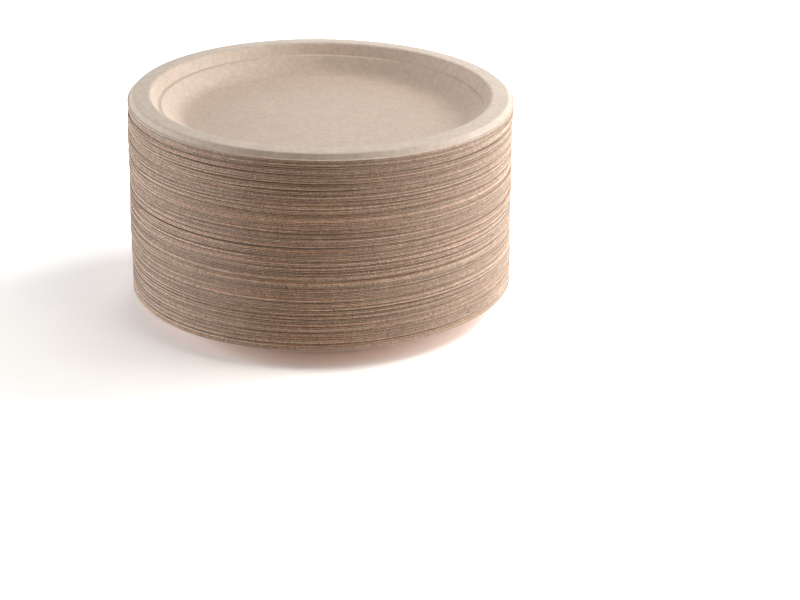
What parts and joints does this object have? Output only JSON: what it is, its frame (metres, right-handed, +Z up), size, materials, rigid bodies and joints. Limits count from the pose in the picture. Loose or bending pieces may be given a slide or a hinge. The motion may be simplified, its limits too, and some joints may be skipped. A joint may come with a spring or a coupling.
{
  "type": "stack of paper plates",
  "caption": "Tall stack of nested round dinner plates, pressed from unbleached plant fibre, each with a flat floor, a stacking step, a broad rim and a thin flange.",
  "frame": {"origin": "centre of the base of the stack, on the surface that it stands on", "axes": "+Z up the stack, through the plates' centres; X and Y level, +X to the picture's right"},
  "size_m": [0.256, 0.2549, 0.1467],
  "materials": {
    "pressed_fibre": "matte"
  },
  "bodies": {
    "root": {"bottom_plate": "pressed_fibre", "plates_002_to_003": "pressed_fibre", "plates_004_to_005": "pressed_fibre", "plates_006_to_007": "pressed_fibre", "plates_008_to_009": "pressed_fibre", "plates_010_to_011": "pressed_fibre", "plates_012_to_013": "pressed_fibre", "plates_014_to_015": "pressed_fibre", "plates_016_to_017": "pressed_fibre", "plates_018_to_020": "pressed_fibre", "plates_021_to_022": "pressed_fibre", "plates_023_to_024": "pressed_fibre", "plates_025_to_026": "pressed_fibre", "plates_027_to_028": "pressed_fibre", "plates_029_to_030": "pressed_fibre", "plates_031_to_032": "pressed_fibre", "plates_033_to_034": "pressed_fibre", "plates_035_to_037": "pressed_fibre", "plates_038_to_039": "pressed_fibre", "plates_040_to_041": "pressed_fibre", "plates_042_to_043": "pressed_fibre", "plates_044_to_045": "pressed_fibre", "plates_046_to_047": "pressed_fibre", "plates_048_to_049": "pressed_fibre", "plates_050_to_051": "pressed_fibre", "plates_052_to_054": "pressed_fibre", "plates_055_to_056": "pressed_fibre", "plates_057_to_058": "pressed_fibre", "plates_059_to_060": "pressed_fibre", "plates_061_to_062": "pressed_fibre", "plates_063_to_064": "pressed_fibre", "plates_065_to_066": "pressed_fibre", "plates_067_to_068": "pressed_fibre", "plates_069_to_070": "pressed_fibre", "plates_071_to_073": "pressed_fibre", "plates_074_to_075": "pressed_fibre", "plates_076_to_077": "pressed_fibre", "plates_078_to_079": "pressed_fibre", "plates_080_to_081": "pressed_fibre", "plates_082_to_083": "pressed_fibre", "plates_084_to_085": "pressed_fibre", "plates_086_to_087": "pressed_fibre", "plates_088_to_090": "pressed_fibre", "plates_091_to_092": "pressed_fibre", "plates_093_to_094": "pressed_fibre", "plates_095_to_096": "pressed_fibre", "plates_097_to_098": "pressed_fibre", "plates_099_to_100": "pressed_fibre", "plates_101_to_102": "pressed_fibre", "plates_103_to_104": "pressed_fibre", "plates_105_to_107": "pressed_fibre", "plates_108_to_109": "pressed_fibre", "plates_110_to_111": "pressed_fibre", "plates_112_to_113": "pressed_fibre", "plates_114_to_115": "pressed_fibre", "plates_116_to_117": "pressed_fibre", "plates_118_to_119": "pressed_fibre", "plates_120_to_121": "pressed_fibre", "plates_122_to_124": "pressed_fibre", "top_plate": "pressed_fibre"}
  },
  "joints": []
}
